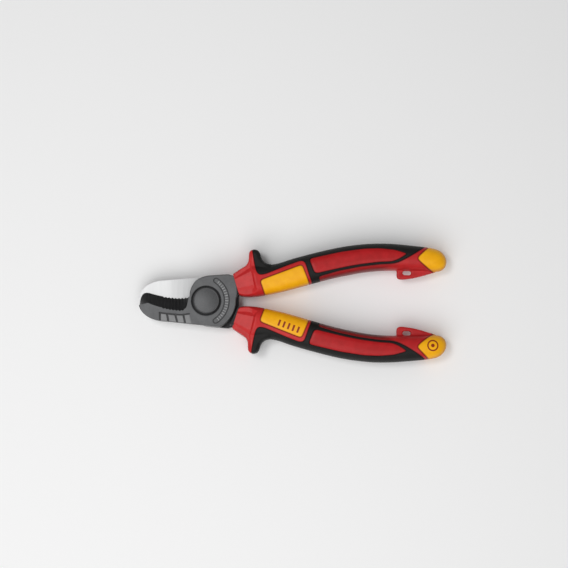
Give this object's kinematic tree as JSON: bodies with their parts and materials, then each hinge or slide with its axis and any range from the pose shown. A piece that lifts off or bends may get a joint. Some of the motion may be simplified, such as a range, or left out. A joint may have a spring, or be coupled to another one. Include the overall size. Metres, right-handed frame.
{
  "type": "insulated cable shears",
  "caption": "Insulated hand shears for cable: crossed curved steel blades on an adjustable pivot bolt, with layered red, yellow and black handles, finger guards and tether slots.",
  "frame": {"origin": "on the pivot axis, in the plane that the tool rests on: the outer face of the nut", "axes": "+X from the pivot towards the handles, along the tool's length; +Z along the pivot axis, from the nut to the bolt's head; +Y towards the upper handle"},
  "size_m": [0.1604, 0.062, 0.0171],
  "materials": {
    "front_lever": "dark phosphated tool steel, brushed, bright on the ground inner face",
    "rear_lever": "bright ground tool steel inside, dark phosphated outside",
    "pivot_bolt": "dark burnished steel",
    "spring_washer": "spring steel",
    "pivot_nut": "dark burnished steel",
    "upper_core_sleeve": "inner insulating sleeve, matt",
    "upper_collar": "hard red insulating plastic, satin gloss",
    "upper_marker_window": "hard yellow-orange plastic, satin",
    "upper_soft_grip": "soft matt black elastomer",
    "upper_front_inlay": "hard red plastic, satin gloss",
    "upper_back_inlay": "hard red plastic, satin gloss",
    "upper_tail": "hard red plastic, satin gloss",
    "upper_end_cap": "hard yellow-orange plastic, satin",
    "lower_core_sleeve": "inner insulating sleeve, matt",
    "lower_collar": "hard red insulating plastic, satin gloss",
    "lower_marker_window": "hard yellow-orange plastic, satin",
    "lower_soft_grip": "soft matt black elastomer",
    "lower_front_inlay": "hard red plastic, satin gloss",
    "lower_back_inlay": "hard red plastic, satin gloss",
    "lower_tail": "hard red plastic, satin gloss",
    "lower_end_cap": "hard yellow-orange plastic, satin"
  },
  "bodies": {
    "front_half": {"front_lever": "front_lever", "pivot_bolt": "pivot_bolt", "spring_washer": "spring_washer", "pivot_nut": "pivot_nut", "upper_core_sleeve": "upper_core_sleeve", "upper_collar": "upper_collar", "upper_marker_window": "upper_marker_window", "upper_soft_grip": "upper_soft_grip", "upper_front_inlay": "upper_front_inlay", "upper_back_inlay": "upper_back_inlay", "upper_tail": "upper_tail", "upper_end_cap": "upper_end_cap"},
    "rear_half": {"rear_lever": "rear_lever", "lower_core_sleeve": "lower_core_sleeve", "lower_collar": "lower_collar", "lower_marker_window": "lower_marker_window", "lower_soft_grip": "lower_soft_grip", "lower_front_inlay": "lower_front_inlay", "lower_back_inlay": "lower_back_inlay", "lower_tail": "lower_tail", "lower_end_cap": "lower_end_cap"}
  },
  "joints": [
    {"name": "pivot", "type": "hinge", "parent": "front_half", "child": "rear_half", "pos_m": [0, 0, 0.0086], "axis": [0, 0, -1], "range_deg": [0, 35]}
  ]
}
